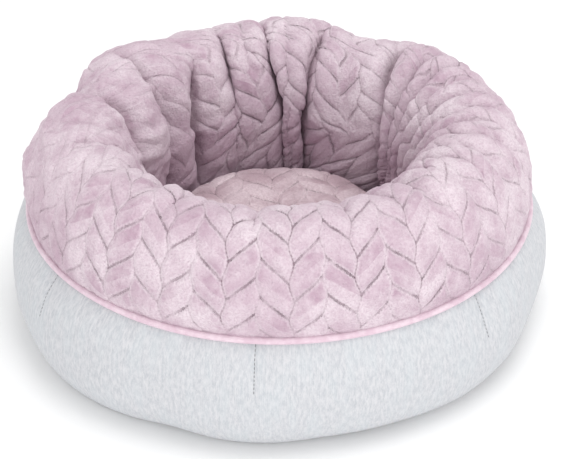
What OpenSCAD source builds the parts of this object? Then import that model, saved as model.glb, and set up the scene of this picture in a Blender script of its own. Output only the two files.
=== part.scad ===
// Round pet bed: a stuffed plush bolster on a jersey side band, with a padded floor and a loose cushion.
// Millimetres, +Z up. The origin is the centre of the base, on the surface that the bed stands on.

/* [Overall] */
// Radius of the side band at its widest
bed_radius = 250; // [200:5:340]
// Height of the bolster's ridge above the floor
bed_height = 198; // [160:1:260]

/* [Fabrics] */
// Thickness of the embossed plush, backing and pile together
plush_thickness = 4; // [2:0.5:7]
// Thickness of the jersey of the side band
jersey_thickness = 2; // [1:0.25:4]
// Thickness of the non-slip base fabric
base_thickness = 1.6; // [0.8:0.2:3]
// Thickness of the plain lining of the floor and of the cushion's underside
lining_thickness = 1.2; // [0.6:0.2:3]
// Radius of the sewing thread, as laid in a seam
thread_radius = 0.6; // [0.3:0.1:1]

/* [Bolster] */
// From the side band's widest point in to the ridge
ridge_inset = 70; // [40:1:90]
// From the side band's widest point in to the opening
bolster_width = 136; // [110:1:170]
// How much wider the opening is at the floor than at its neck
foot_flare = 4; // [0:0.5:12]

/* [Piping] */
// Height of the piped seam above the floor
seam_height = 112; // [90:1:140]
// From the side band's widest point in to the piped seam
seam_inset = 19; // [8:1:30]
// Radius of the cord inside the piping
cord_radius = 2.4; // [1:0.1:4]
// Thickness of the piping's bias strip
piping_wall = 0.7; // [0.4:0.1:1.2]
// How far the centre of the piping stands out from the seam
piping_standout = 1.8; // [0:0.1:3]
// Width of the seam allowance, inside the bolster
seam_allowance = 10; // [6:1:15]
// Thickness of the plush where the seam presses it flat
pressed_plush = 2.4; // [1:0.2:4]

/* [Side band] */
// Height of the side band's widest point
belly_height = 52; // [35:1:75]
// From the side band's widest point in to the base seam
base_inset = 33; // [20:1:60]
// Number of darts in the top edge
dart_count = 7; // [3:1:10]
// Angle of the first dart from the front, towards the left
dart_angle = 5; // [0:1:50]
// Height of a dart below the piped seam
dart_length = 42; // [20:1:60]
// Width and depth of a dart's stitch line
dart_width = 0.8; // [0.4:0.1:1.2]

/* [Base] */
// Thickness of the fibre pad in the floor
pad_thickness = 24; // [10:1:40]
// Gap between the pad and the bolster's inner wall
pad_clearance = 0.5; // [0.2:0.1:2]
// Radius of a grip dot
dot_radius = 3; // [1.5:0.5:5]
// Height of a grip dot
dot_height = 0.6; // [0.3:0.1:1]
// Distance between neighbouring grip dots
dot_pitch = 44; // [30:1:60]
// Plain margin between the outermost dots and the base seam
dot_margin = 22; // [10:1:40]

/* [Cushion] */
// Gap all round between the cushion and the opening's neck
cushion_clearance = 1.5; // [0.5:0.5:6]
// Gap under the cushion
rest_gap = 0.3; // [0.1:0.1:1]
// Height of the cushion from its underside to its crown
cushion_height = 64; // [40:1:80]
// Height of the cushion's edge seam above its underside
cushion_seam_height = 24; // [14:1:34]
// Radius of the curve from the underside up to the edge seam
cushion_corner = 20; // [10:1:30]
// How square the crown is: 2 is an ellipse, more is flatter
crown_power = 3.2; // [2:0.1:4]

/* [Hidden] */
$fn = 128;
arc_steps = 14;

// Radii worked out from the widest point inwards
seam_radius = bed_radius - seam_inset;
ridge_radius = bed_radius - ridge_inset;
opening_radius = bed_radius - bolster_width;
base_radius = bed_radius - base_inset;
foot_radius = opening_radius + foot_flare;
cushion_radius = opening_radius - cushion_clearance;

// Heights worked out from the floor upwards
base_top = dot_height + base_thickness;
pad_top = base_top + pad_thickness;
floor_top = pad_top + lining_thickness;
cushion_bottom = floor_top + rest_gap;
cushion_seam = cushion_bottom + cushion_seam_height;
plush_edge = seam_height + piping_wall;
jersey_edge = seam_height - piping_wall;

piping_radius = cord_radius + piping_wall;
piping_centre = [seam_radius + piping_standout, seam_height];

// Where each line of stitches lies in the cross-section: half sunk in the fabric that it holds
piping_thread_at = [seam_radius - seam_allowance / 2, plush_edge + pressed_plush];
base_thread_at = [base_radius - 3 * thread_radius, base_top];
cushion_thread_at = [cushion_radius - 2 * thread_radius, cushion_seam];

// Radius of the bolster's inner wall at a height between the base and the piped seam
function wall_radius(z) = opening_radius + foot_flare * (plush_edge - z) / (plush_edge - base_top);

floor_radius = wall_radius(floor_top) - pad_clearance;

// Points along an arc of an ellipse: centre, half axes, first and last angle
function arc(centre, half_r, half_z, first, last) = [
    for (i = [0 : arc_steps])
        let (angle = first + (last - first) * i / arc_steps)
            centre + [half_r * cos(angle), half_z * sin(angle)]
];

function reversed(points) = [for (i = [len(points) - 1 : -1 : 0]) points[i]];

// The plush from the piped seam over the ridge and down to the floor, depth inside its face.
// It starts lift above the seam.
function plush_path(depth, lift = 0) = let (
    centre = [ridge_radius, plush_edge],
    rise = bed_height - plush_edge - depth
) concat(
    arc(centre, seam_radius - ridge_radius - depth, rise, asin(lift / rise), 90),
    arc(centre, ridge_radius - opening_radius - depth, rise, 90, 180),
    [[foot_radius + depth, base_top]]
);

// The side band from the base seam out round the belly and up to the piped seam, depth inside its face
function band_path(depth) = let (
    centre = [base_radius, belly_height],
    bulge = base_inset - depth,
    reach = (seam_radius - base_radius) / base_inset,
    rise = (jersey_edge - belly_height) / sqrt(1 - reach * reach)
) concat(
    arc(centre, bulge, belly_height - dot_height - depth, -90, 0),
    arc(centre, bulge, rise - depth, 0, acos(reach))
);

// The cushion's upper half from its edge seam to its crown, depth inside its face
function crown_path(depth) = [
    for (i = [0 : 2 * arc_steps])
        let (angle = 90 * i / (2 * arc_steps))
            [
                (cushion_radius - depth) * pow(cos(angle), 2 / crown_power),
                cushion_seam + (cushion_height - cushion_seam_height - depth) * pow(sin(angle), 2 / crown_power)
            ]
];

// The cushion's lower half from its middle out to its edge seam, depth inside its face
function underside_path(depth) = concat(
    [[0, cushion_bottom + depth]],
    arc(
        [cushion_radius - cushion_corner, cushion_seam],
        cushion_corner - depth, cushion_seam_height - depth, -90, 0
    )
);

module thread_section(at) translate(at) circle(r = thread_radius, $fn = 24);

module thread_ring(at) rotate_extrude() thread_section(at);

module disc(radius, bottom, thickness) translate([0, 0, bottom]) cylinder(r = radius, h = thickness);

module piping_section(radius) translate(piping_centre) circle(r = radius);

// Cross-section of the side band, with its seam allowance turned in under the piping
module band_section(depth) polygon(concat(
    band_path(0),
    [[seam_radius - seam_allowance, jersey_edge], [seam_radius - seam_allowance, jersey_edge - depth]],
    reversed(band_path(depth))
));

// The thin upright blocks that mark where the darts are, from under the seam allowance down
module dart_slabs() for (i = [0 : dart_count - 1])
    rotate([0, 0, 270 - dart_angle + i * 360 / dart_count])
        translate([base_radius, -dart_width / 2, seam_height - dart_length])
            cube([2 * base_inset, dart_width, jersey_edge - jersey_thickness - (seam_height - dart_length)]);

module base_panel() color("#4d4a4f") rotate_extrude() difference() {
    translate([0, dot_height]) square([base_radius, base_thickness]);
    thread_section(base_thread_at);
}

// Dots on a triangular grid, as far out as the plain margin lets them go
module grip_dots() color("#2f2d31") {
    reach = base_radius - dot_margin;
    rows = ceil(reach / dot_pitch * 2 / sqrt(3));
    for (row = [-rows : rows], column = [-2 * rows : 2 * rows]) {
        spot = dot_pitch * [column + row / 2, row * sqrt(3) / 2];
        if (norm(spot) < reach) translate(spot) cylinder(r = dot_radius, h = dot_height, $fn = 32);
    }
}

module base_pad() color("#f2f0ec") disc(floor_radius, base_top, pad_thickness);

module floor_lining() color("#d8ccd3") disc(floor_radius, pad_top, lining_thickness);

module floor_seam_thread() color("#e7d3dc")
    thread_ring([floor_radius - 2 * thread_radius, floor_top + thread_radius]);

module side_dart_threads() color("#b9bfc4") intersection() {
    rotate_extrude() difference() {
        band_section(dart_width);
        piping_section(piping_radius);
    }
    dart_slabs();
}

module side_band() color("#dfe3e6") difference() {
    rotate_extrude() difference() {
        band_section(jersey_thickness);
        piping_section(piping_radius);
    }
    side_dart_threads();
}

module base_seam_thread() color("#c9cdd1") thread_ring(base_thread_at);

module piping_cord() color("#f4f1ee") rotate_extrude() piping_section(cord_radius);

// Bias strip round the cord, with its two edges laid together as a tail inside the seam
module piping_cover() color("#ecd0dc") rotate_extrude() difference() {
    union() {
        piping_section(piping_radius);
        translate([seam_radius - seam_allowance, jersey_edge])
            square([seam_allowance + piping_standout, plush_edge - jersey_edge]);
    }
    piping_section(cord_radius);
}

module piping_seam_thread() color("#ecd0dc") thread_ring(piping_thread_at);

// Plush from the piped seam over the ridge to the floor, with its seam allowance pressed flat
module bolster_cover() color("#dcc4d1") rotate_extrude() difference() {
    polygon(concat(
        plush_path(0),
        reversed(plush_path(plush_thickness, pressed_plush)),
        [[seam_radius - seam_allowance, plush_edge + pressed_plush], [seam_radius - seam_allowance, plush_edge]]
    ));
    piping_section(piping_radius);
    thread_section(piping_thread_at);
}

// The stuffing fills all that the covers enclose, round the seam allowances and the threads
module bolster_fill() color("#faf9f7") rotate_extrude() difference() {
    polygon(concat(
        plush_path(plush_thickness, pressed_plush),
        [[base_radius, base_top], [base_radius, dot_height + jersey_thickness]],
        band_path(jersey_thickness),
        [
            [seam_radius - seam_allowance, jersey_edge - jersey_thickness],
            [seam_radius - seam_allowance, plush_edge + pressed_plush]
        ]
    ));
    thread_section(piping_thread_at);
    thread_section(base_thread_at);
}

module cushion_top() color("#dcc4d1") rotate_extrude() difference() {
    polygon(concat(crown_path(0), reversed(crown_path(plush_thickness))));
    thread_section(cushion_thread_at);
}

module cushion_underside() color("#d8ccd3") rotate_extrude() difference() {
    polygon(concat(underside_path(0), reversed(underside_path(lining_thickness))));
    thread_section(cushion_thread_at);
}

module cushion_fill() color("#faf9f7") rotate_extrude() difference() {
    polygon(concat(underside_path(lining_thickness), crown_path(plush_thickness)));
    thread_section(cushion_thread_at);
}

module cushion_seam_thread() color("#e7d3dc") thread_ring(cushion_thread_at);

base_panel();
grip_dots();
base_pad();
floor_lining();
floor_seam_thread();
side_band();
side_dart_threads();
base_seam_thread();
piping_cord();
piping_cover();
piping_seam_thread();
bolster_cover();
bolster_fill();
cushion_top();
cushion_underside();
cushion_fill();
cushion_seam_thread();
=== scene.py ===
"""Round pet bed: a gathered plush bolster, a jersey side band, a piped seam, a base and a loose cushion.

Shapes are worked out in millimetres as grids of points, (rows, columns, 3), and made into meshes in metres.
"""
import math

import bpy
import numpy as np
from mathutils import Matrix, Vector


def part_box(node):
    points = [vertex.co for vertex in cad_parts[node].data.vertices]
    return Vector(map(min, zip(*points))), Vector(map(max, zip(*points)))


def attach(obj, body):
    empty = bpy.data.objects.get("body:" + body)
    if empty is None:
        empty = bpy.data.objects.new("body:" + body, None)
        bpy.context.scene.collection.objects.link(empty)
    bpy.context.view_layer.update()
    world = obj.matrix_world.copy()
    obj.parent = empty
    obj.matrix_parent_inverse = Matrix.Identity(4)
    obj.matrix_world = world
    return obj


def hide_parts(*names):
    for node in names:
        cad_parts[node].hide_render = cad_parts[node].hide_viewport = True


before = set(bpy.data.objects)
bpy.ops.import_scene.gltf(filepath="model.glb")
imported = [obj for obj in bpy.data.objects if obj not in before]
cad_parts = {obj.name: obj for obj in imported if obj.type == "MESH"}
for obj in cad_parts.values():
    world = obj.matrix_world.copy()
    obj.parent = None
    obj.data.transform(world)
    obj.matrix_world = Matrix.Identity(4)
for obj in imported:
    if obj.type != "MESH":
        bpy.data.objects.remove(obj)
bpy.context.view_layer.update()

TAU = 2 * math.pi


# ---- sizes, from the frame, in millimetres

def cad_box(node):
    """A node's lowest and highest corner, in millimetres."""
    return [[1000 * value for value in corner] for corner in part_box(node)]


BED_TOP = cad_box("bolster_cover")[1][2]
SEAM_RADIUS = cad_box("bolster_cover")[1][0]
BAND_RADIUS = cad_box("side_band")[1][0]
BAND_BOTTOM = cad_box("side_band")[0][2]
BASE_RADIUS = cad_box("base_panel")[1][0]
FLOOR_RADIUS = cad_box("floor_lining")[1][0]
FLOOR_TOP = cad_box("floor_lining")[1][2]
PIPING_LOW, PIPING_HIGH = (corner[2] for corner in cad_box("piping_cover"))
PIPING_OUT = cad_box("piping_cover")[1][0]
PIPING_RADIUS = (PIPING_HIGH - PIPING_LOW) / 2
SEAM_HEIGHT = (PIPING_HIGH + PIPING_LOW) / 2
CUSHION_RADIUS = cad_box("cushion_top")[1][0]
CUSHION_EDGE = CUSHION_RADIUS - 1.5
CUSHION_SEAM = cad_box("cushion_top")[0][2]
CUSHION_TOP = cad_box("cushion_top")[1][2]
CUSHION_BOTTOM = cad_box("cushion_underside")[0][2]
DOT_TOP = cad_box("grip_dots")[1][2]

# The bolster's shape between those sizes, and how far its wall runs down behind the floor lining
RIDGE_RADIUS = BAND_RADIUS - 70
OPENING_RADIUS = CUSHION_RADIUS + 1.5
FOOT_RADIUS = FLOOR_RADIUS + 0.5
WALL_TUCK = 14

# How far the plush inside the ridge stands back from the plain wall
WALL_SET_BACK = 8.0

# Where the side band is fullest, and how square the cushion's crown is
BELLY_HEIGHT = 52
CROWN_POWER = 3.2

# The embossed herringbone: columns run from the piping over the ridge, in pairs with opposite slants
COLUMNS = 52
STRIP_LENGTH = TAU * SEAM_RADIUS
COLUMN_WIDTH = STRIP_LENGTH / COLUMNS
LEAF_PITCH = 30
LEAF_SLANT = math.radians(35.5)
ZIGZAG = 2.2
PATTERN_SHIFT = 18

# The plush's grid before it is refined
THREADS_PER_COLUMN = 8
ROW_STEP = 3.6

# How much cloth beyond the seam's own length is in the gathers, and from how far off the piping
FULLNESS = 150
FULLNESS_FROM = 60

# How a crease rises to its shoulders: 1 is a plain V, more is narrower; a lean adds to it
CREASE_POWER = 1.8
LEAN_POWER = 2.5

# A crease reaches to each side over a share of the gap, and no further than a base plus a share of its depth;
# a lean makes one side shorter and the other longer
GAP_SHARE = 0.52
REACH = 13
REACH_PER_DEPTH = 0.9
LEAN_REACH = 0.45

# A crease starts over one length, fades over another, and has then lost a share of its depth
CREASE_START = 34
CREASE_FADE = 60
CREASE_LOSS = 0.8

# How far a crease wanders sideways, in millimetres, and how much its depth varies
CREASE_WANDER = 3.2
DEPTH_VARIATION = 0.45

# The plush's cloth simulation: the stuffing's pressure, and the furthest that any point may move
PLUSH_PRESSURE = 4
PLUSH_TRAVEL = 5
SETTLING_FRAMES = 18

# The side band's darts: seven, the first a little left of the front
FRONT = math.radians(270)
DARTS = 7
DART_ANGLES = [FRONT - math.radians(5) + i * TAU / DARTS for i in range(DARTS)]
DART_LENGTH = 42
STITCH_PITCH = 3.4
STITCH_LENGTH = 2.4

# The bolster's creases: angle at the ridge and how far it drifts by the neck, in degrees; how far from the
# piping it starts; its depth against the others'; its lean, above 0 in under the lobe at the larger angle;
# and about how far past the neck it fades, below 0 for before it
CREASES = [
    (3, 6, 40, 1.6, -0.3, 60),
    (11, 4, 44, 2.1, -0.3, 30),
    (19, 2, 38, 1.8, -0.3, 70),
    (28, -1, 42, 2.2, -0.3, 40),
    (37, -5, 50, 1.9, -0.3, 60),
    (48, -9, 68, 2.9, -0.3, 90),
    (61, -2, 124, 0.5, 0.0, -20),
    (75, 4, 84, 2.2, 0.2, 120),
    (86, -1, 88, 0.9, 0.0, -60),
    (96, -8, 80, 2.5, -0.2, 120),
    (103, -2, 84, 1.1, 0.0, -60),
    (110, 0, 78, 1.8, -0.2, -15),
    (122, 6, 118, 1.6, 0.2, 60),
    (143, 3, 82, 2.2, 0.5, 110),
    (166, 11, 56, 2.2, 0.5, 80),
    (186, -2, 96, 1.2, 0.3, 40),
    (198, -5, 84, 1.3, 0.3, 50),
    (213, -2, 80, 1.2, 0.3, 60),
    (229, -2, 66, 0.9, 0.0, 60),
    (241, -2, 72, 1.0, -0.3, 60),
    (252, 1, 118, 0.8, 0.0, 60),
    (264, -1, 74, 0.8, 0.3, 60),
    (277, -2, 118, 0.9, 0.0, 60),
    (290, 0, 88, 1.0, -0.3, 60),
    (301, 1, 74, 1.0, -0.2, 60),
    (312, 3, 58, 1.1, 0.0, 60),
    (322, 5, 50, 1.2, 0.2, 60),
    (331, 7, 44, 1.4, -0.1, 40),
    (339, 8, 40, 1.4, -0.2, 70),
    (347, 8, 40, 1.8, -0.3, 40),
    (355, 7, 36, 1.7, -0.3, 70),
]

# Where the roll stands fuller or lower than a plain ring: angle and width in degrees, how far out, how far up
SWELLS = [
    (0, 14, 1, 0),
    (38, 16, 4, 2),
    (66, 15, -3, -12),
    (92, 10, -1, -4),
    (108, 12, -2, -7),
    (126, 8, 0, -8),
    (141, 7, 4, 0),
    (161, 8, -11, -4),
    (184, 10, 6, 2),
    (222, 14, 3, 0),
]

# Where the side band is fuller: angle and width in degrees, then how much
BAND_SWELLS = [(228, 16, 5), (305, 14, -0.5), (278, 8, -2), (338, 10, -3), (355, 9, 2.5), (190, 12, 2)]

# How far the cushion's plush lies under the CAD's crown before the relief, and its underside's rounding
CUSHION_FLATTER = 5.5
CUSHION_ROUNDING = 20

# The camera, in metres and degrees, and its lens in millimetres
CAMERA_DISTANCE = 1.6
CAMERA_ELEVATION = 32.6
CAMERA_MIDDLE = 0.09
CAMERA_RIGHT = 0.004
CAMERA_DOWN = 0.0177
CAMERA_LENS = 107.6


# ---- small tools

def smoothstep(x):
    """0 up to x = 0 and 1 from x = 1, on a smooth curve between."""
    x = np.clip(x, 0, 1)
    return x * x * (3 - 2 * x)


def noise(u, v, cell_u, cell_v, seed, period):
    """Smooth noise from -1 to 1 over u and v, in cells of the given size; u repeats after the period."""
    across = max(2, round(period / cell_u))
    low = v.min()
    down = int((v.max() - low) / cell_v) + 3
    table = np.random.default_rng(seed).uniform(-1, 1, (down, across))
    a = u / period * across
    b = (v - low) / cell_v
    i = np.floor(a).astype(int)
    j = np.floor(b).astype(int)
    fa = smoothstep(a - i)
    fb = smoothstep(b - j)
    first = table[j, i % across] * (1 - fa) + table[j, (i + 1) % across] * fa
    second = table[j + 1, i % across] * (1 - fa) + table[j + 1, (i + 1) % across] * fa
    return first * (1 - fb) + second * fb


def plane_noise(x, y, cell_x, cell_y, seed, half=300):
    """Smooth noise over a square that reaches half a side from the bed's axis."""
    return noise(x + half, y + half, cell_x, cell_y, seed, 2 * half)


def angle_from(angle, middle):
    """The angle from the middle, from -pi to pi."""
    return (angle - middle + math.pi) % TAU - math.pi


def hump(angle, middle, width):
    """1 at the middle and less on both sides, in a bell of the given width."""
    return np.exp(-(angle_from(angle, middle) / width) ** 2)


def ring_grid(threads, rings):
    """The angle and the ring's value at every point of a grid."""
    return np.meshgrid(np.arange(threads) * TAU / threads, rings)


def closed_cloth(u, v, period=0.0):
    """Cloth coordinates with the first column again after the last, one period further on."""
    uv = np.stack([u, v], axis=-1)
    return np.concatenate([uv, uv[:, :1] + [period, 0.0]], axis=1)


def around(points_r, points_z, angle):
    """Points at the given radii, heights and angles."""
    return np.stack([points_r * np.cos(angle), points_r * np.sin(angle), points_z], axis=-1)


def grid_normals(points):
    """Unit normals of a grid whose columns close on themselves, pointing to the outside of the piece."""
    across = np.roll(points, -1, axis=1) - np.roll(points, 1, axis=1)
    down = np.gradient(points, axis=0)
    normal = np.cross(across, down)
    return normal / np.maximum(np.linalg.norm(normal, axis=-1, keepdims=True), 1e-9)


def refine(grid):
    """Twice as many rows and columns, on smooth curves through the old ones; the columns close."""
    before, after, beyond = (np.roll(grid, shift, axis=1) for shift in (1, -1, -2))
    between = (9 * (grid + after) - before - beyond) / 16
    wide = np.stack([grid, between], axis=2).reshape(len(grid), -1, *grid.shape[2:])
    ends = np.concatenate([2 * wide[:1] - wide[1:2], wide, 2 * wide[-1:] - wide[-2:-1]])
    middle = (9 * (ends[1:-2] + ends[2:-1]) - ends[:-3] - ends[3:]) / 16
    tall = np.empty((2 * len(wide) - 1, *wide.shape[1:]))
    tall[::2] = wide
    tall[1::2] = middle
    return tall


def herringbone(u, v):
    """Distances in millimetres to the nearest slanted groove and to the nearest upright boundary.

    The third value is 1 nearest to the boundaries where the slants meet at their lowest, and 0 elsewhere.
    """
    across = u / COLUMN_WIDTH
    boundary = np.round(across)
    rise = COLUMN_WIDTH * math.tan(LEAF_SLANT)
    odd = boundary % 2
    wave = np.cos(TAU * (v + (odd - 0.5) * rise) / LEAF_PITCH) * (1 - 2 * odd)
    across = across - ZIGZAG * wave / COLUMN_WIDTH * (1 - 2 * np.abs(across - boundary))
    column = np.floor(across)
    odd = column % 2
    place = v / LEAF_PITCH + (1 - 2 * odd) * rise / LEAF_PITCH * (across - column - 0.5) + odd / 2
    slanted = np.abs(place - np.round(place)) * LEAF_PITCH * math.cos(LEAF_SLANT)
    upright = np.abs(across - np.round(across)) * COLUMN_WIDTH
    return slanted, upright, np.round(across) % 2


def leaf_relief(u, v):
    """Height of the embossed pattern, from 0 where grooves meet to about 4.5 mm in the middle of a leaf."""
    slanted, upright, lowest = herringbone(u, v)
    edge = np.minimum(slanted, upright)
    return (
        1.5 * (1 - np.exp(-(slanted / 1.7) ** 2))
        + (0.8 + 0.5 * lowest) * (1 - np.exp(-(upright / 1.7) ** 2))
        + 1.7 * (1 - np.exp(-edge / 6))
    )


def corners_of(grid, axis):
    """The values at the four corners of each face of a grid, side by side on the axis."""
    return np.stack([grid[:-1, :-1], grid[:-1, 1:], grid[1:, 1:], grid[1:, :-1]], axis=axis)


def grid_mesh(name, points):
    """A mesh in metres from a grid of points in millimetres whose columns close on themselves."""
    rows, columns = points.shape[:2]
    index = np.arange(rows * columns).reshape(rows, columns)
    index = np.concatenate([index, index[:, :1]], axis=1)
    faces = corners_of(index, -1).reshape(-1, 4)
    mesh = bpy.data.meshes.new(name)
    mesh.from_pydata((points.reshape(-1, 3) / 1000).tolist(), [], faces.tolist())
    return mesh


def settle(points, flat, held, pressure, cap, frames):
    """Cloth simulation: a grid of cloth settles over its stuffing, from folded points towards its flat cut.

    held is 1 where the cloth is sewn fast and 0 where it is free. No point moves further than the cap.
    """
    scene = bpy.context.scene
    piece = bpy.data.objects.new("settling", grid_mesh("settling", points))
    scene.collection.objects.link(piece)
    piece.shape_key_add(name="folded")
    cut = piece.shape_key_add(name="cut")
    cut.data.foreach_set("co", flat.reshape(-1) / 1000)
    sewn = piece.vertex_groups.new(name="sewn")
    levels = np.round(held.reshape(-1) * 10)
    for level in range(1, 11):
        sewn.add(np.flatnonzero(levels == level).tolist(), level / 10, "REPLACE")
    cloth = piece.modifiers.new("cloth", "CLOTH")
    cloth.collision_settings.use_collision = False
    cloth.collision_settings.use_self_collision = False
    cloth.point_cache.frame_end = frames
    fabric = cloth.settings
    fabric.quality = 6
    fabric.mass = 0.02
    fabric.tension_stiffness = 8
    fabric.compression_stiffness = 3
    fabric.shear_stiffness = 3
    fabric.bending_stiffness = 0.3
    fabric.vertex_group_mass = "sewn"
    fabric.rest_shape_key = cut
    fabric.use_pressure = True
    fabric.uniform_pressure_force = pressure
    fabric.effector_weights.gravity = 0
    for step in range(1, frames + 1):
        scene.frame_set(step)
    settled = piece.evaluated_get(bpy.context.evaluated_depsgraph_get()).data
    ends = np.empty(points.size)
    settled.vertices.foreach_get("co", ends)
    move = ends.reshape(points.shape) * 1000 - points
    for _ in range(3):
        beside = (np.roll(move, 1, axis=1) + np.roll(move, -1, axis=1)) / 2
        above = np.concatenate([move[:1], (move[2:] + move[:-2]) / 2, move[-1:]])
        move = 0.5 * move + 0.25 * beside + 0.25 * above
    far = np.linalg.norm(move, axis=-1, keepdims=True)
    scene.frame_set(1)
    bpy.data.objects.remove(piece)
    return points + move * (cap * np.tanh(far / cap) / np.maximum(far, 1e-6))


def show(name, mesh, material):
    """Puts a smooth mesh of one material into the scene."""
    mesh.shade_smooth()
    mesh.update()
    mesh.materials.append(material)
    piece = bpy.data.objects.new(name, mesh)
    bpy.context.scene.collection.objects.link(piece)
    return piece


def make_piece(name, points, material, body, uv=None, masks=None):
    """A piece from a grid of points, with its cloth coordinates and masks, riding on a body."""
    mesh = grid_mesh(name, points)
    if uv is not None:
        mesh.uv_layers.new(name="cloth").data.foreach_set("uv", corners_of(uv, 2).reshape(-1) / 1000)
    for mask, values in (masks or {}).items():
        mesh.attributes.new(mask, "FLOAT", "POINT").data.foreach_set("value", values.reshape(-1))
    piece = show(name, mesh, material)
    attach(piece, body)
    return piece


# ---- materials

class Shader:
    """A material's nodes, with short ways to add one and to join it to others."""

    def __init__(self, name, roughness, sheen=0.0, sheen_roughness=0.4, sheen_tint=(1, 1, 1, 1)):
        self.material = bpy.data.materials.new(name)
        self.material.use_nodes = True
        self.tree = self.material.node_tree
        self.surface = self.tree.nodes["Principled BSDF"]
        finish = {
            "Roughness": roughness, "Specular IOR Level": 0.25, "Sheen Weight": sheen,
            "Sheen Roughness": sheen_roughness, "Sheen Tint": sheen_tint,
        }
        for socket, value in finish.items():
            self.surface.inputs[socket].default_value = value

    def join(self, socket, value):
        """Links a socket to a node's output, or sets its value."""
        if isinstance(value, bpy.types.NodeSocket):
            self.tree.links.new(value, socket)
        else:
            socket.default_value = value

    def add(self, kind):
        return self.tree.nodes.new("ShaderNode" + kind)

    def math(self, operation, *values):
        node = self.add("Math")
        node.operation = operation
        for socket, value in zip(node.inputs, values):
            self.join(socket, value)
        return node.outputs[0]

    def times(self, first, second):
        return self.math("MULTIPLY", first, second)

    def sine(self, value, scale):
        return self.math("SINE", self.times(value, scale))

    def mix(self, factor, first, second):
        """A colour between the first, at factor 0, and the second, at factor 1."""
        node = self.add("Mix")
        node.data_type = "RGBA"
        self.join(node.inputs[0], factor)
        self.join(node.inputs[6], first)
        self.join(node.inputs[7], second)
        return node.outputs[2]

    def ramp(self, value, low, high, to_low=0.0, to_high=1.0):
        """From to_low, where the value is low, to to_high, where it is high, on a smooth curve."""
        node = self.add("MapRange")
        node.interpolation_type = "SMOOTHSTEP"
        for socket, given in zip(node.inputs, (value, low, high, to_low, to_high)):
            self.join(socket, given)
        return node.outputs[0]

    def attribute(self, name):
        node = self.add("Attribute")
        node.attribute_name = name
        return node.outputs["Fac"]

    def place(self, stretch=(1, 1, 1)):
        """The place on the object, in metres, stretched along the axes."""
        coordinates = self.add("TexCoord")
        mapping = self.add("Mapping")
        mapping.inputs["Scale"].default_value = stretch
        self.join(mapping.inputs["Vector"], coordinates.outputs["Object"])
        return mapping.outputs[0]

    def cloth(self):
        """The cloth coordinates u and v, in metres, and both as a vector."""
        node = self.add("UVMap")
        node.uv_map = "cloth"
        parts = self.add("SeparateXYZ")
        self.join(parts.inputs[0], node.outputs[0])
        return parts.outputs[0], parts.outputs[1], node.outputs[0]

    def noise(self, vector, scale, detail=2.0, roughness=0.5):
        node = self.add("TexNoise")
        given = {"Scale": scale, "Detail": detail, "Roughness": roughness, "Vector": vector}
        for socket, value in given.items():
            self.join(node.inputs[socket], value)
        return node.outputs["Fac"]

    def leaf_tone(self, column, leaf):
        """A random value from 0 to 1 for each leaf of the herringbone."""
        joined = self.add("CombineXYZ")
        self.join(joined.inputs[0], column)
        self.join(joined.inputs[1], leaf)
        random = self.add("TexWhiteNoise")
        self.join(random.inputs["Vector"], joined.outputs[0])
        return random.outputs["Value"]

    def bump(self, height, distance, strength=1.0):
        """Adds a height in metres to the surface's small relief."""
        node = self.add("Bump")
        node.inputs["Distance"].default_value = distance
        node.inputs["Strength"].default_value = strength
        self.join(node.inputs["Height"], height)
        earlier = self.surface.inputs["Normal"].links
        if earlier:
            self.join(node.inputs["Normal"], earlier[0].from_socket)
        self.join(self.surface.inputs["Normal"], node.outputs[0])

    def colour(self, value):
        self.join(self.surface.inputs["Base Color"], value)
        return self.material


def leaf_nodes(shader, u, v):
    """The leaves of herringbone() as nodes, from u and v in metres, with the two distances in millimetres."""
    rise = COLUMN_WIDTH * math.tan(LEAF_SLANT)
    across = shader.math("DIVIDE", u, COLUMN_WIDTH / 1000)
    boundary = shader.math("ROUND", across)
    odd = shader.math("FLOORED_MODULO", boundary, 2.0)
    sign = shader.math("MULTIPLY_ADD", odd, -2.0, 1.0)
    phase = shader.math("MULTIPLY_ADD", shader.math("SUBTRACT", odd, 0.5), rise / 1000, v)
    wave = shader.math("COSINE", shader.times(phase, TAU * 1000 / LEAF_PITCH))
    wave = shader.times(wave, sign)
    off = shader.math("ABSOLUTE", shader.math("SUBTRACT", across, boundary))
    fade = shader.math("MULTIPLY_ADD", off, -2.0, 1.0)
    wave = shader.times(wave, fade)
    across = shader.math("MULTIPLY_ADD", wave, -ZIGZAG / COLUMN_WIDTH, across)
    column = shader.math("FLOOR", across)
    odd = shader.math("FLOORED_MODULO", column, 2.0)
    sign = shader.math("MULTIPLY_ADD", odd, -2.0, 1.0)
    inside = shader.math("SUBTRACT", shader.math("SUBTRACT", across, column), 0.5)
    slope = shader.times(shader.times(sign, inside), rise / LEAF_PITCH)
    along = shader.math("MULTIPLY_ADD", v, 1000 / LEAF_PITCH, slope)
    along = shader.math("MULTIPLY_ADD", odd, 0.5, along)
    leaf = shader.math("ROUND", along)
    slanted = shader.math("ABSOLUTE", shader.math("SUBTRACT", along, leaf))
    slanted = shader.times(slanted, LEAF_PITCH * math.cos(LEAF_SLANT))
    upright = shader.math("SUBTRACT", 0.5, shader.math("ABSOLUTE", inside))
    upright = shader.times(upright, COLUMN_WIDTH)
    return column, leaf, along, inside, slope, slanted, upright


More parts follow.
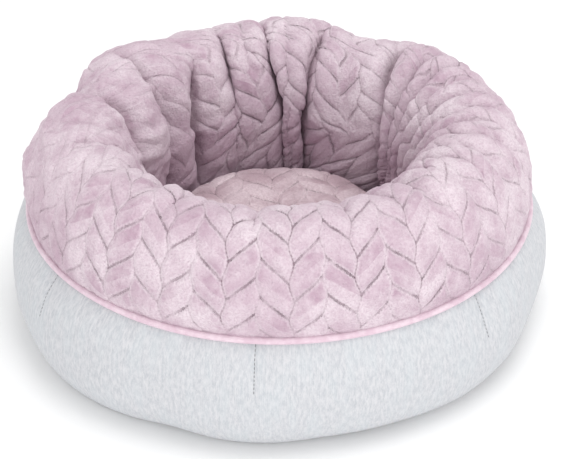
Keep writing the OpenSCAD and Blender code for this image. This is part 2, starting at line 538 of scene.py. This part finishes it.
def plush(name, shaded, lit, groove):
    """Short velvet pile, embossed with the herringbone. Its three colours are a shaded and a lit tone of the
    pile, from which painted shade and painted highlight are mixed, and a dark tone for painted shade in the
    grooves.

    The mesh gives line, how strong the pattern is, cleft, the depth in the creases, where shade is painted,
    and a mask of where shade is painted darker, in patches, in the hollow and on the left.
    """
    shader = Shader(name, 0.9, sheen=0.35, sheen_roughness=0.35, sheen_tint=(1.0, 0.88, 0.95, 1))
    u, v, _ = shader.cloth()
    place = shader.place()
    column, leaf, along, inside, slope, slanted, upright = leaf_nodes(shader, u, v)

    # The pile between its shaded and its lit tone, in random patches, leaf by leaf and in streaks: partly the
    # pile's own uneven tone and partly painted sheen; paler as a painted highlight where the pile turns over
    # a leaf's edge
    patches = shader.noise(place, 26, 3, 0.6)
    streaks = shader.noise(place, 150, 2, 0.6)
    tuft = shader.noise(place, 480, 2, 0.7)
    base = shader.mix(shader.ramp(patches, 0.33, 0.68), shaded, lit)
    base = shader.mix(shader.ramp(shader.leaf_tone(column, leaf), 0.2, 1.0, 0.0, 0.35), base, lit)
    base = shader.mix(shader.ramp(streaks, 0.3, 0.75, 0.0, 0.35), base, lit)
    # Painted sheen: each leaf lighter towards one side, where its pile leans
    side = shader.math("SUBTRACT", along, leaf)
    base = shader.mix(shader.ramp(side, -0.1, 0.5, 0.0, 0.4), base, lit)
    # Painted highlight: paler near every groove, where the pile turns over a leaf's edge
    edge = shader.math("MINIMUM", slanted, upright)
    edge_highlight = shader.times(shader.ramp(edge, 0.8, 3.6, 0.75, 0.0), shader.attribute("line"))
    base = shader.mix(edge_highlight, base, lit)
    # Fine specks of painted shade among the tufts of pile, in the shaded tone
    base = shader.mix(shader.ramp(tuft, 0.65, 0.3, 0.0, 0.4), base, shaded)
    # Painted shade where the mesh marks it, towards the shaded tone
    base = shader.mix(shader.times(shader.attribute("painted_shade"), 0.6), base, shaded)

    # Painted shade in the grooves: thin broken lines along the slants, and fainter dashed ones along the
    # uprights, in millimetres
    dots = shader.sine(inside, COLUMN_WIDTH / math.cos(LEAF_SLANT) * TAU / 3.4)
    width = shader.math("MULTIPLY_ADD", dots, 0.25, 0.8)
    mark = shader.math("SUBTRACT", 1.0, shader.ramp(shader.math("DIVIDE", slanted, width), 0.3, 1.7))
    broken = shader.ramp(shader.noise(place, 60, 2, 0.6), 0.35, 0.6, 0.3, 1.0)
    strength = shader.times(shader.attribute("line"), broken)
    mark = shader.times(mark, strength)
    lowest = shader.math("GREATER_THAN", slope, 0.0)
    dash = shader.math("MULTIPLY_ADD", shader.sine(v, TAU * 1000 / 3.1), 0.25, 0.75)
    depth = shader.times(shader.math("MULTIPLY_ADD", lowest, 0.35, 0.25), dash)
    faint = shader.times(shader.ramp(upright, 0.3, 1.2, 1.0, 0.0), depth)
    faint = shader.times(faint, strength)
    base = shader.mix(faint, base, groove)
    base = shader.mix(shader.times(mark, 0.55), base, groove)
    # Painted shade deep in the creases
    base = shader.mix(shader.times(shader.attribute("cleft"), 0.5), base, groove)

    # Small relief: the grooves, tufts of pile, and the pile itself
    shader.bump(mark, -0.0010)
    shader.bump(tuft, 0.0019, 0.85)
    shader.bump(shader.noise(place, 1000, 2, 0.7), 0.0008, 0.7)
    return shader.colour(base)


def jersey():
    """Light heather knit: pale grey with a little blue and pink, in fine upright streaks."""
    shader = Shader("jersey", 0.95, sheen=0.15, sheen_roughness=0.5)
    u, _, vector = shader.cloth()
    mapping = shader.add("Mapping")
    mapping.inputs["Scale"].default_value = (1.0, 0.3, 1.0)
    shader.join(mapping.inputs["Vector"], vector)
    streaks = shader.noise(mapping.outputs[0], 420, 3, 0.65)
    broad = shader.noise(mapping.outputs[0], 70, 2, 0.5)
    fibre = shader.noise(mapping.outputs[0], 1300, 2, 0.6)
    base = shader.mix(shader.ramp(streaks, 0.3, 0.7), (0.46, 0.475, 0.505, 1), (0.61, 0.61, 0.63, 1))
    base = shader.mix(shader.ramp(fibre, 0.45, 0.75, 0.0, 0.5), base, (0.68, 0.68, 0.695, 1))
    base = shader.mix(shader.ramp(broad, 0.4, 0.7, 0.0, 0.25), base, (0.54, 0.595, 0.62, 1))
    rib = shader.sine(u, TAU / 0.0016)
    shader.bump(rib, 0.00012, 0.4)
    shader.bump(streaks, 0.0006, 0.5)
    return shader.colour(base)


def woven(name, colour, other, thread, roughness=0.85, sheen=0.1, relief=0.0002):
    """Plain fabric: two close tones in a fine weave of the given thread spacing, with soft mottling."""
    shader = Shader(name, roughness, sheen=sheen)
    place = shader.place()
    parts = shader.add("SeparateXYZ")
    shader.join(parts.inputs[0], place)
    waves = [shader.sine(parts.outputs[i], TAU / thread) for i in (0, 1)]
    weave = shader.times(waves[0], waves[1])
    mottle = shader.noise(place, 120, 3, 0.6)
    base = shader.mix(shader.ramp(mottle, 0.3, 0.7), colour, other)
    shader.bump(weave, relief, 0.6)
    shader.bump(shader.noise(place, 800, 2, 0.6), 0.0004, 0.5)
    return shader.colour(base)


def moulded(name, colour, other):
    """Soft PVC with a faint grain."""
    shader = Shader(name, 0.55)
    place = shader.place()
    base = shader.mix(shader.noise(place, 400, 2), colour, other)
    shader.bump(shader.noise(place, 1500, 2), 0.0002, 0.5)
    return shader.colour(base)


def fibre(name, colour, other):
    """Soft cotton cord."""
    shader = Shader(name, 0.95, sheen=0.3)
    place = shader.place((1, 1, 2))
    strands = shader.noise(place, 300, 4, 0.7)
    shader.bump(strands, 0.002, 0.8)
    return shader.colour(shader.mix(strands, colour, other))


# The plush's shaded tone, lit tone and groove tone, from which its painted shade and painted highlight are
# mixed
PLUSH = plush("plush", (0.475, 0.32, 0.405, 1), (0.775, 0.675, 0.725, 1), (0.19, 0.105, 0.14, 1))
CUSHION_PLUSH = plush(
    "cushion_plush", (0.46, 0.315, 0.36, 1), (0.86, 0.725, 0.765, 1), (0.17, 0.10, 0.12, 1)
)
JERSEY = jersey()
PIPING = woven("piping_fabric", (0.68, 0.505, 0.59, 1), (0.78, 0.635, 0.705, 1), 0.0007, 0.7, 0.3, 0.0001)
LINING = woven("lining", (0.55, 0.44, 0.50, 1), (0.64, 0.53, 0.58, 1), 0.0012, 0.9, 0.2)
BASE_FABRIC = woven(
    "base_fabric", (0.045, 0.045, 0.05, 1), (0.075, 0.075, 0.08, 1), 0.0016, 0.8, 0.1, 0.0003
)
GRIP = moulded("grip_pvc", (0.015, 0.015, 0.016, 1), (0.03, 0.03, 0.032, 1))
CORD = fibre("cotton_cord", (0.80, 0.77, 0.72, 1), (0.92, 0.90, 0.86, 1))
PINK_THREAD = woven("pink_thread", (0.62, 0.44, 0.52, 1), (0.72, 0.56, 0.63, 1), 0.0004, 0.6, 0.2, 0.0001)
GREY_THREAD = woven("grey_thread", (0.16, 0.165, 0.17, 1), (0.24, 0.245, 0.25, 1), 0.0004, 0.6, 0.2, 0.0001)


# ---- bolster

def meridian(step):
    """The bolster's plain cross-section from seam over ridge to floor, in steps of about the given length.

    Returns radius, height, the outward normal in both, and the length run from the seam.
    """
    quarter = np.linspace(0, math.pi / 2, 300)
    rise = BED_TOP - PIPING_HIGH + 2
    foot = SEAM_HEIGHT + 1
    outer = (
        RIDGE_RADIUS + (SEAM_RADIUS - RIDGE_RADIUS) * np.cos(quarter),
        foot + rise * np.sin(quarter),
    )
    inner = (
        RIDGE_RADIUS - (RIDGE_RADIUS - OPENING_RADIUS) * np.sin(quarter),
        foot + rise * np.cos(quarter),
    )
    wall = (
        np.linspace(OPENING_RADIUS, FOOT_RADIUS, 200),
        np.linspace(foot, FLOOR_TOP - WALL_TUCK, 200),
    )
    radius, height = (np.concatenate([outer[i], inner[i][1:], wall[i][1:]]) for i in (0, 1))
    length = np.concatenate([[0], np.cumsum(np.hypot(np.diff(radius), np.diff(height)))])
    steps = np.arange(0, length[-1], step)
    radius = np.interp(steps, length, radius)
    height = np.interp(steps, length, height)
    slope_r = np.gradient(radius)
    slope_z = np.gradient(height)
    size = np.hypot(slope_r, slope_z)
    return radius, height, slope_z / size, -slope_r / size, steps


def wander(seed, cell, steps):
    """For each crease, a smooth value from -1 to 1 along the cross-section: an array of creases by rows."""
    knots = np.random.default_rng(seed).uniform(-1, 1, (len(CREASES), int(steps[-1] / cell) + 3))
    knot = np.floor(steps / cell).astype(int)
    share = smoothstep(steps / cell - knot)
    return knots[:, knot] * (1 - share) + knots[:, knot + 1] * share


def crease_row(radius, along, neck, sideways, varied):
    """One row of the gathered cloth: close angles, the height in the creases, the lean and the cloth u.

    sideways is how far each crease wanders here, in millimetres, and varied scales each crease's depth.
    """
    dense = np.linspace(0, TAU, 7200, endpoint=False)
    toward = smoothstep((along - neck / 2) / (neck / 2))
    angles = np.radians([angle + drift * toward for angle, drift, *_ in CREASES])
    angles = angles + sideways / radius
    spare = TAU * max(SEAM_RADIUS - radius, 0) + FULLNESS * smoothstep(along / FULLNESS_FROM)
    total = sum(depth for _, _, _, depth, _, _ in CREASES)
    depths = varied * np.array([
        spare * depth / (2 * total)
        * smoothstep((along - start) / CREASE_START)
        * (1 - CREASE_LOSS * smoothstep((along - neck - end + 40) / CREASE_FADE))
        for _, _, start, depth, _, end in CREASES
    ])
    order = np.argsort(angles)
    angles, depths = angles[order], depths[order]
    leans = np.array([lean for _, _, _, _, lean, _ in CREASES])[order]
    height = np.zeros_like(dense)
    lean = np.zeros_like(dense)
    for i, (angle, depth) in enumerate(zip(angles, depths)):
        off = angle_from(dense, angle)
        before = (angle - angles[i - 1]) % TAU
        after = (angles[(i + 1) % len(angles)] - angle) % TAU
        steep = np.where(off > 0, 1 - LEAN_REACH * leans[i], 1 + LEAN_REACH * leans[i])
        gap = np.where(off < 0, before, after) * radius
        reach = np.minimum(gap * GAP_SHARE, (REACH + REACH_PER_DEPTH * depth) * steep)
        near = np.clip(np.abs(off) * radius / reach, 0, 1)
        drop = depth * (1 - near) ** (CREASE_POWER + LEAN_POWER * abs(leans[i]))
        deeper = drop > -height
        lean = np.where(deeper, leans[i], lean)
        height = np.where(deeper, -drop, height)
    run = np.hypot(TAU * radius / len(dense), np.diff(height, append=height[:1]))
    cloth = np.concatenate([[0], np.cumsum(run)])
    cloth = cloth / cloth[-1] * STRIP_LENGTH
    cloth = cloth - np.interp(FRONT, np.append(dense, TAU), cloth) + PATTERN_SHIFT
    return dense, height, lean, cloth


def bolster_grid(threads, step):
    """The gathered plush as a grid, with its cloth coordinates u and v and the depth in the creases."""
    radius, height, normal_r, normal_z, steps = meridian(step)
    neck = steps[int(np.argmin(radius))]
    sideways = CREASE_WANDER * wander(5, 38, steps) * smoothstep(steps / 90)
    varied = 1 + DEPTH_VARIATION * wander(6, 46, steps)
    u = np.arange(threads) * STRIP_LENGTH / threads
    angle = np.empty((len(steps), threads))
    depth = np.empty_like(angle)
    lean = np.empty_like(angle)
    for row, (r, along) in enumerate(zip(radius, steps)):
        dense, drop, slants, cloth = crease_row(r, along, neck, sideways[:, row], varied[:, row])
        cloth_of = np.concatenate([cloth[:-1] + STRIP_LENGTH * turn for turn in (-1, 0, 1)])
        angle_of = np.concatenate([dense + TAU * turn for turn in (-1, 0, 1)])
        angle[row] = np.interp(u, cloth_of, angle_of)
        depth[row] = np.interp(u, cloth_of, np.tile(drop, 3))
        lean[row] = np.interp(u, cloth_of, np.tile(slants, 3))
    u = np.broadcast_to(u, angle.shape)
    v = np.broadcast_to(steps[:, None], angle.shape)
    over = smoothstep(v / 40) * (1 - smoothstep((v - neck + 30) / 40))
    turn = angle * SEAM_RADIUS
    lumps = over * (
        3.0 * noise(turn, v, 190, 110, 1, STRIP_LENGTH)
        + 2.2 * noise(turn, v, 80, 70, 2, STRIP_LENGTH)
    )
    wrinkles = smoothstep(v / 60) * 1.6 * noise(u, v, 26, 80, 3, STRIP_LENGTH)
    inner = smoothstep((v - neck / 2) / (neck / 2))
    lift = depth + lumps + wrinkles + 1.5 * smoothstep(v / 20) - WALL_SET_BACK * inner
    angle = angle - lean * depth / radius[:, None]
    out, up = swell(angle)
    points = around(
        radius[:, None] + normal_r[:, None] * lift + out * over,
        height[:, None] + normal_z[:, None] * lift + up * over,
        angle,
    )
    return points, u, v, depth


def swell(angle):
    """How far out and up the roll stands from a plain ring, in millimetres."""
    out, up = np.zeros_like(angle), np.zeros_like(angle)
    for middle, width, outward, upward in SWELLS:
        near = hump(angle, math.radians(middle), math.radians(width))
        out = out + outward * near
        up = up + upward * near
    return out, up


def kept_outside(points, radius):
    """The points with none nearer to the bed's axis than the radius, eased over a few millimetres."""
    across = np.hypot(points[..., 0], points[..., 1])
    ease = 1.5
    clear = (radius + ease * np.logaddexp(0, (across - radius) / ease)) / across
    clear = np.where(across > radius + 8 * ease, 1, clear)
    return points * np.stack([clear, clear, np.ones_like(clear)], axis=-1)


def settled_bolster():
    """The plush after it has settled over its stuffing, on a finer grid: points, u, v and depth."""
    points, u, v, depth = bolster_grid(COLUMNS * THREADS_PER_COLUMN, ROW_STEP)
    flat = around(np.full_like(u, SEAM_RADIUS), v, u / SEAM_RADIUS)
    rows = np.arange(len(points))[:, None]
    edges = np.broadcast_to(1 - smoothstep(np.minimum(rows, len(points) - 1 - rows) / 3), u.shape)
    held = np.maximum(edges, 0.9 * smoothstep((-depth - 1.5) / 4))
    points = refine(settle(points, flat, held, PLUSH_PRESSURE, PLUSH_TRAVEL, SETTLING_FRAMES))
    points = kept_outside(points, OPENING_RADIUS + 2)
    depth = refine(depth)
    u = np.broadcast_to(np.arange(u.shape[1] * 2) * STRIP_LENGTH / (u.shape[1] * 2), depth.shape)
    v = np.broadcast_to(np.linspace(0, v[-1, 0], len(depth))[:, None], depth.shape)
    return points, u, v, depth


def build_bolster():
    """The bolster's plush, with the herringbone pressed in where the cloth is taut, and fine wrinkles."""
    points, u, v, depth = settled_bolster()
    angle = np.arctan2(points[..., 1], points[..., 0])
    left = hump(angle, math.radians(170), 0.7)
    right = hump(angle, 0.0, 0.6)
    crisp = 1 - 0.9 * left - 0.45 * right
    patchy = 0.85 + 0.3 * noise(u, v, 90, 70, 4, STRIP_LENGTH)
    # How deep a point lies in a crease: it lessens the relief there, and shade is painted into the crease
    # from it
    cleft = smoothstep((-depth - 5) / 9)
    apart = np.linalg.norm(np.roll(points, -1, axis=1) - points, axis=-1) * u.shape[1] / STRIP_LENGTH
    taut = smoothstep((apart - 0.45) / 0.35)
    relief = np.clip(patchy * (1 - 0.4 * left - 0.3 * right), 0.2, 1.15)
    relief = relief * (1 - 0.5 * cleft) * (0.25 + 0.75 * taut)
    relief = relief * (0.3 + 0.7 * smoothstep(v / 16))
    ruffle = 0.8 * noise(u, v, 11, 26, 7, STRIP_LENGTH)
    ruffle = ruffle + (0.4 + 0.5 * left) * noise(u, v, 5, 7, 8, STRIP_LENGTH)
    crumpled = 2.5 * noise(u + 9 * noise(u, v, 60, 40, 10, STRIP_LENGTH), v, 38, 10, 9, STRIP_LENGTH)
    ruffle = (ruffle + crumpled * (0.25 + 0.75 * left)) * smoothstep(v / 25)
    # Painted shade: darker in the hollow inside the ridge, on the left side, and in random patches
    inside = smoothstep((RIDGE_RADIUS - 20 - np.hypot(points[..., 0], points[..., 1])) / 25)
    inside = inside * smoothstep((BED_TOP - 20 - points[..., 2]) / 70)
    painted_shade = np.clip(0.3 * left + 0.8 * inside + 0.6 * noise(u, v, 70, 50, 14, STRIP_LENGTH), 0, 1)
    points = points + grid_normals(points) * (leaf_relief(u, v) * relief + ruffle)[..., None]
    points = kept_outside(points, OPENING_RADIUS - 1)
    piece = make_piece(
        "bolster_plush", points, PLUSH, "bed", closed_cloth(u, v, STRIP_LENGTH),
        masks={"cleft": cleft, "line": relief * (0.35 + 0.65 * crisp), "painted_shade": painted_shade},
    )
    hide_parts("bolster_cover", "bolster_fill")


# ---- side band, piping and darts

def seam_wave(angle):
    """How far the piped seam wanders in or out, in millimetres: less than the piping's wall over its cord."""
    return 0.25 * np.sin(3 * angle + 1.0) + 0.12 * np.sin(7 * angle + 2.2)


def corners(angle):
    """From -1 between the darts to 1 at a dart, for the soft corners that the darts give the band."""
    return np.cos(DARTS * (angle - DART_ANGLES[0]))


def band_path(count):
    """The side band's plain cross-section from the base seam round the belly to the piped seam."""
    share = (SEAM_RADIUS - BASE_RADIUS) / (BAND_RADIUS - BASE_RADIUS)
    rise = (SEAM_HEIGHT - BELLY_HEIGHT) / math.sqrt(1 - share ** 2)
    turn = np.linspace(-math.pi / 2, math.acos(share), count)
    half = np.where(turn < 0, BELLY_HEIGHT - BAND_BOTTOM, rise)
    return BASE_RADIUS + (BAND_RADIUS - BASE_RADIUS) * np.cos(turn), BELLY_HEIGHT + half * np.sin(turn)


def build_band():
    """The side band with its darts drawn in; returns its points and their drop from the seam."""
    radius, height = band_path(90)
    angle, drop = ring_grid(960, SEAM_HEIGHT - height)
    turn = angle * BAND_RADIUS
    run = np.concatenate([[0], np.cumsum(np.hypot(np.diff(radius), np.diff(height)))])
    v = np.broadcast_to(run[:, None], angle.shape)
    low = smoothstep(drop / 70)
    girth = TAU * BAND_RADIUS
    lumps = smoothstep(drop / 25) * (
        2.0 * noise(turn, v, 110, 70, 11, girth) + 1.0 * noise(turn, v, 45, 40, 12, girth)
    )
    puckers = 1.1 * noise(turn, v, 9, 60, 13, girth) * np.exp(-drop / 9) * smoothstep(drop / 2)
    full = np.zeros_like(angle)
    for middle, width, more in BAND_SWELLS:
        full = full + more * hump(angle, math.radians(middle), math.radians(width))
    out = lumps + puckers + 1.8 * corners(angle) * low + seam_wave(angle) * np.exp(-drop / 15)
    out = out + smoothstep(drop / 30) * (2.0 + full)
    for dart in DART_ANGLES:
        off = angle_from(angle, dart) * BAND_RADIUS
        fade = smoothstep((DART_LENGTH + 12 - drop) / 25)
        sewn_line = 2.2 * np.exp(-(np.abs(off) / 1.6))
        hollow = 1.6 * np.exp(-(off / 14) ** 2)
        out = out - fade * (sewn_line + hollow)
    grow = np.gradient(radius)
    climb = np.gradient(height)
    size = np.hypot(grow, climb)
    points = around(
        radius[:, None] + (climb / size)[:, None] * out,
        np.maximum(height[:, None] - (grow / size)[:, None] * out, BAND_BOTTOM),
        angle,
    )
    piece = make_piece("jersey_band", points, JERSEY, "bed", closed_cloth(turn, v, girth))
    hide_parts("side_band")
    return points, drop


def tube(path, radius, sides):
    """A closed tube round a closed path of points."""
    ahead = np.roll(path, -1, axis=0) - np.roll(path, 1, axis=0)
    ahead = ahead / np.linalg.norm(ahead, axis=1, keepdims=True)
    out = np.cross(ahead, [0, 0, 1.0])
    out = out / np.linalg.norm(out, axis=1, keepdims=True)
    up = np.cross(out, ahead)
    turn = np.arange(sides + 1) * TAU / sides
    ring = np.cos(turn)[:, None, None] * out + np.sin(turn)[:, None, None] * up
    return path + radius * ring


def build_piping():
    """The piping's cover, a smooth tube that wanders with the seam."""
    angle = np.arange(720) * TAU / 720
    radius = PIPING_OUT - PIPING_RADIUS + seam_wave(angle)
    height = SEAM_HEIGHT + 0.2 * np.sin(5 * angle + 0.4)
    points = tube(around(radius, height, angle), PIPING_RADIUS, 14)
    piece = make_piece("piping", points, PIPING, "bed")
    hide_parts("piping_cover")


def stitch_mesh(name, starts, ends, radius, material, body):
    """One mesh of separate stitches: a short rounded bar from each start to each end."""
    along = ends - starts
    length = np.linalg.norm(along, axis=1, keepdims=True)
    along = along / length
    side = np.cross(along, [0.12, 0.31, 0.94])
    side = side / np.linalg.norm(side, axis=1, keepdims=True)
    other = np.cross(along, side)
    verts, faces = [], []
    sides = 6
    rings = [(0.0, 0.15), (0.12, 0.75), (0.5, 1.0), (0.88, 0.75), (1.0, 0.15)]
    for start, ahead, far, a, b in zip(starts, along, length, side, other):
        first = len(verts)
        for place, swell in rings:
            for turn in range(sides):
                spin = turn * TAU / sides
                outward = a * math.cos(spin) + b * math.sin(spin)
                verts.append(start + ahead * far * place + radius * swell * outward)
        for ring in range(len(rings) - 1):
            for turn in range(sides):
                after = (turn + 1) % sides
                low = first + ring * sides
                faces.append((low + turn, low + after, low + sides + after, low + sides + turn))
        faces.append(tuple(first + turn for turn in reversed(range(sides))))
        faces.append(tuple(first + (len(rings) - 1) * sides + turn for turn in range(sides)))
    mesh = bpy.data.meshes.new(name)
    mesh.from_pydata([tuple(point / 1000) for point in verts], [], faces)
    piece = show(name, mesh, material)
    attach(piece, body)
    return piece


def build_dart_stitches(band, drop):
    """A row of stitches down each dart, laid on the band's surface."""
    starts, ends = [], []
    columns = band.shape[1]
    depth = drop[::-1, 0]
    for dart in DART_ANGLES:
        line = band[::-1, round((dart % TAU) / TAU * columns) % columns]
        for top in np.arange(3, DART_LENGTH, STITCH_PITCH):
            starts.append([np.interp(top, depth, line[:, k]) for k in range(3)])
            ends.append([np.interp(top + STITCH_LENGTH, depth, line[:, k]) for k in range(3)])
    piece = stitch_mesh("dart_stitches", np.array(starts), np.array(ends), 0.45, GREY_THREAD, "bed")
    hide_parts("side_dart_threads")


# ---- base

def build_base():
    """The base panel with its domed grip dots, and the line of stitches that joins it to the band."""
    angle, share = ring_grid(360, np.concatenate([[0.01], np.linspace(0.04, 1.0, 70)]))
    radius = share * (BASE_RADIUS + 1 + 2.5 * corners(angle))
    x = radius * np.cos(angle)
    y = radius * np.sin(angle)
    ripple = 0.25 * plane_noise(x, y, 40, 40, 21)
    height = DOT_TOP + 0.45 + ripple
    points = np.stack([x, y, height], axis=-1)[::-1]
    piece = make_piece("base_cloth", points, BASE_FABRIC, "bed")
    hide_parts("base_panel")

    # Each dot is a stack of rings, radius and height, from its rim down to its flat face
    rings = ((3.0, 0.9), (2.8, 0.25), (2.0, 0.05), (0.9, 0.0))
    sides = 20
    verts, faces = [], []
    for x, y in dot_places():
        first = len(verts)
        for reach, level in rings:
            for a in range(sides):
                spin = a * TAU / sides
                verts.append((x + reach * math.cos(spin), y + reach * math.sin(spin), level))
        for ring in range(len(rings) - 1):
            for a in range(sides):
                b = (a + 1) % sides
                low = first + ring * sides
                faces.append((low + b, low + a, low + sides + a, low + sides + b))
        faces.append(tuple(first + (len(rings) - 1) * sides + a for a in reversed(range(sides))))
    mesh = bpy.data.meshes.new("grip_domes")
    mesh.from_pydata([(x / 1000, y / 1000, z / 1000) for x, y, z in verts], [], faces)
    domes = show("grip_domes", mesh, GRIP)
    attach(domes, "bed")
    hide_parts("grip_dots")

    count = 300
    turn = np.arange(count) * TAU / count
    line = BASE_RADIUS - 5 + 2.5 * corners(turn)
    level = np.full_like(turn, 0.75)
    starts = around(line, level, turn)
    ends = around(line, level, turn + TAU / count * 0.72)
    stitches = stitch_mesh("base_stitches", starts, ends, 0.45, GREY_THREAD, "bed")
    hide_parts("base_seam_thread")


def dot_places():
    """Centres of the grip dots: a triangular grid, 44 mm apart, clear of the base seam."""
    pitch = 44
    reach = BASE_RADIUS - 22
    for row in range(-5, 6):
        for column in range(-10, 11):
            x = pitch * (column + row / 2)
            y = pitch * row * math.sqrt(3) / 2
            if math.hypot(x, y) < reach:
                yield x, y


def build_floor():
    """The lining over the base pad, gathered a little at its seam, and the stitches round it."""
    angle, share = ring_grid(360, np.concatenate([[0.01], np.linspace(0.04, 1.0, 60)]))
    radius = share * FLOOR_RADIUS
    soft = 1.2 * plane_noise(radius * np.cos(angle), radius * np.sin(angle), 45, 45, 31, 200)
    gather = 0.8 * noise(angle * FLOOR_RADIUS, radius, 9, 80, 32, TAU * FLOOR_RADIUS)
    gather = gather * smoothstep((share - 0.75) / 0.2)
    height = FLOOR_TOP - 1.2 + (soft * (1 - share) - np.abs(gather)) * 0.8
    height = height - 2.0 * smoothstep((share - 0.93) / 0.07)
    points = around(radius, height, angle)
    piece = make_piece("floor_cloth", points, LINING, "bed")
    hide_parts("floor_lining", "base_pad")
    count = 180
    turn = np.arange(count) * TAU / count
    line = np.full_like(turn, FLOOR_RADIUS - 6)
    level = np.full_like(turn, FLOOR_TOP - 1.2)
    starts = around(line, level, turn)
    ends = around(line, level, turn + TAU / count * 0.7)
    stitches = stitch_mesh("floor_stitches", starts, ends, 0.5, PINK_THREAD, "bed")
    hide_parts("floor_seam_thread")


# ---- cushion

def cushion_seam_wave(angle):
    """How far the cushion's edge seam wanders in or out, in millimetres."""
    return 1.2 * noise(angle * CUSHION_EDGE, angle * 0, 14, 50, 41, TAU * CUSHION_EDGE)


def build_cushion_top():
    """The cushion's embossed plush top, crowned and puckered at its edge seam."""
    edge = CUSHION_EDGE
    angle, share = ring_grid(480, np.concatenate([[0.004], np.linspace(0.015, 1.0, 110)]))
    dome = (1 - share ** CROWN_POWER) ** (1 / CROWN_POWER)
    radius = share * (edge + cushion_seam_wave(angle) * share ** 6)
    x = radius * np.cos(angle)
    y = radius * np.sin(angle)
    pucker = noise(angle * edge, radius, 13, 60, 42, TAU * edge) * smoothstep((share - 0.62) / 0.3)
    soft = plane_noise(x, y, 60, 55, 43) + 0.6 * plane_noise(x, y, 26, 22, 46)
    top = CUSHION_SEAM + (CUSHION_TOP - CUSHION_SEAM - CUSHION_FLATTER) * dome
    top = top + 1.0 * pucker + 3.2 * soft * (1 - share ** 3)
    lie = math.radians(14)
    u = x * math.cos(lie) + y * math.sin(lie) + 300
    v = y * math.cos(lie) - x * math.sin(lie) + 300
    flat = 0.95 + 0.25 * plane_noise(x, y, 50, 50, 44)
    relief = flat * (1 - smoothstep((share - 0.9) / 0.1))
    points = np.stack([x, y, top + leaf_relief(u, v) * relief], axis=-1)
    # Painted shade in soft patches over the cushion's lumps
    painted_shade = np.clip(0.2 + 1.3 * plane_noise(x, y, 45, 30, 47), 0, 1)
    plush_top = make_piece(
        "cushion_plush_top", points, CUSHION_PLUSH, "cushion", closed_cloth(u, v),
        masks={"cleft": np.zeros_like(relief), "line": relief * 0.8, "painted_shade": painted_shade},
    )
    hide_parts("cushion_top", "cushion_fill")


def build_cushion_underside():
    """The cushion's plain underside: flat, rounded at the edge, and puckered at the seam."""
    edge = CUSHION_EDGE
    flat = np.concatenate([[1.0], np.linspace(4, edge - CUSHION_ROUNDING, 50)])
    quarter = np.linspace(0, 1, 60)[1:] * math.pi / 2
    bottom_r = np.concatenate([flat, edge - CUSHION_ROUNDING + CUSHION_ROUNDING * np.sin(quarter)])
    bottom_z = np.concatenate([
        np.full(len(flat), CUSHION_BOTTOM),
        CUSHION_SEAM - (CUSHION_SEAM - CUSHION_BOTTOM) * np.cos(quarter),
    ])
    angle, row_r = ring_grid(480, bottom_r)
    share = row_r / edge
    row_z = np.broadcast_to(bottom_z[:, None], row_r.shape)
    radius = row_r + cushion_seam_wave(angle) * share ** 6
    pucker = noise(angle * edge, row_r, 13, 60, 45, TAU * edge) * smoothstep((share - 0.7) / 0.3)
    height = row_z + 0.9 + np.abs(pucker) * (1 - smoothstep((share - 0.98) / 0.02))
    points = around(radius, height, angle)[::-1]
    underside = make_piece("cushion_lining", points, LINING, "cushion")
    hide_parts("cushion_underside")


# ---- stage, light and camera

def finish_cad_nodes():
    """The CAD pieces that stay, hidden inside, get the finish of their slot."""
    finishes = {
        "piping_cord": CORD, "piping_seam_thread": PINK_THREAD, "cushion_seam_thread": PINK_THREAD,
    }
    for node, material in finishes.items():
        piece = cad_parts[node]
        piece.data.materials.clear()
        piece.data.materials.append(material)


def build_stage():
    """A pale floor."""
    size = 6
    mesh = bpy.data.meshes.new("floor")
    corner_places = [(-size, -size, 0), (size, -size, 0), (size, size, 0), (-size, size, 0)]
    mesh.from_pydata(corner_places, [], [(0, 1, 2, 3)])
    shader = Shader("floor", 0.9)
    mesh.materials.append(shader.colour((0.93, 0.93, 0.93, 1)))
    floor = bpy.data.objects.new("floor", mesh)
    bpy.context.scene.collection.objects.link(floor)


def aim(thing, target):
    """Turns a lamp or a camera towards a point."""
    thing.rotation_euler = (Vector(target) - thing.location).to_track_quat("-Z", "Y").to_euler()


def area_light(name, place, target, size, power):
    """A round white lamp at a place in metres, with its diameter in metres and its power in watts."""
    data = bpy.data.lights.new(name, "AREA")
    data.shape = "DISK"
    data.size = size
    data.energy = power
    lamp = bpy.data.objects.new(name, data)
    lamp.location = place
    aim(lamp, target)
    bpy.context.scene.collection.objects.link(lamp)


def build_light():
    """White studio: a bright room, a wide lamp overhead to the right, and two soft ones low in front."""
    world = bpy.data.worlds.new("studio")
    world.use_nodes = True
    world.node_tree.nodes["Background"].inputs["Color"].default_value = (1.0, 1.0, 1.0, 1)
    world.node_tree.nodes["Background"].inputs["Strength"].default_value = 0.9
    bpy.context.scene.world = world
    area_light("overhead", (0.35, -0.1, 2.2), target=(0, 0, 0.1), size=1.4, power=16)
    area_light("front_left", (-1.2, -2.3, 0.5), target=(0, 0, 0.06), size=1.2, power=12)
    area_light("front_right", (1.5, -2.1, 0.5), target=(0, 0, 0.06), size=1.2, power=13)


def build_camera():
    """Looks down at the front of the bed."""
    rise = math.radians(CAMERA_ELEVATION)
    back = Vector((0, -math.cos(rise), math.sin(rise)))
    right = Vector((1, 0, 0))
    up = right.cross(-back)
    middle = Vector((0, 0, CAMERA_MIDDLE))
    data = bpy.data.cameras.new("camera")
    data.lens = CAMERA_LENS
    data.sensor_width = 36
    camera = bpy.data.objects.new("camera", data)
    camera.location = middle + back * CAMERA_DISTANCE
    aim(camera, middle + right * CAMERA_RIGHT - up * CAMERA_DOWN)
    bpy.context.scene.collection.objects.link(camera)
    bpy.context.scene.camera = camera


build_camera()
build_stage()
build_light()
bpy.context.scene.view_settings.view_transform = "Standard"
build_bolster()
build_dart_stitches(*build_band())
build_piping()
build_base()
build_floor()
build_cushion_top()
build_cushion_underside()
finish_cad_nodes()
